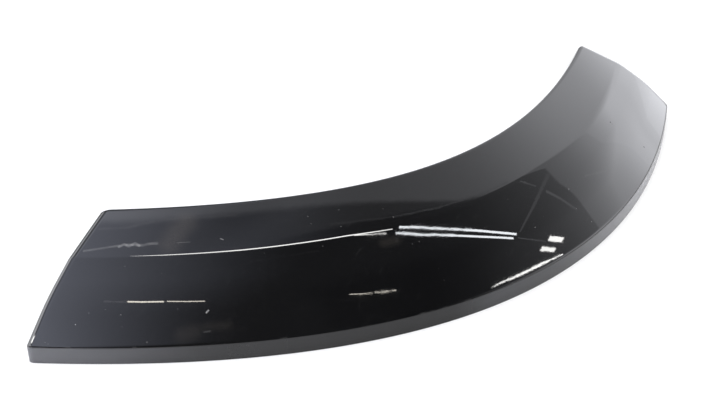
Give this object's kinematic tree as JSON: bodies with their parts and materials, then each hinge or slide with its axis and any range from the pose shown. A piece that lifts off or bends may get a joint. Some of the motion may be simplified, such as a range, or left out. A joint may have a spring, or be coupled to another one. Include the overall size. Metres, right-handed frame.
{
  "type": "wheel arch trim",
  "caption": "Gloss black moulded wheel arch trim for a car: a curved flare with a fading crease, an outer lip, a return along the wheel opening and clip seats behind.",
  "frame": {"origin": "the middle of the outer rim, on the plane where the trim meets the car's body", "axes": "+X along the chord of the arch, +Y to the wheel, +Z away from the body, out of the face"},
  "size_m": [0.5918, 0.186, 0.0652],
  "materials": {
    "gloss_black": "gloss, with dust and fine scratches"
  },
  "bodies": {
    "root": {"arch_trim": "gloss_black"}
  },
  "joints": []
}
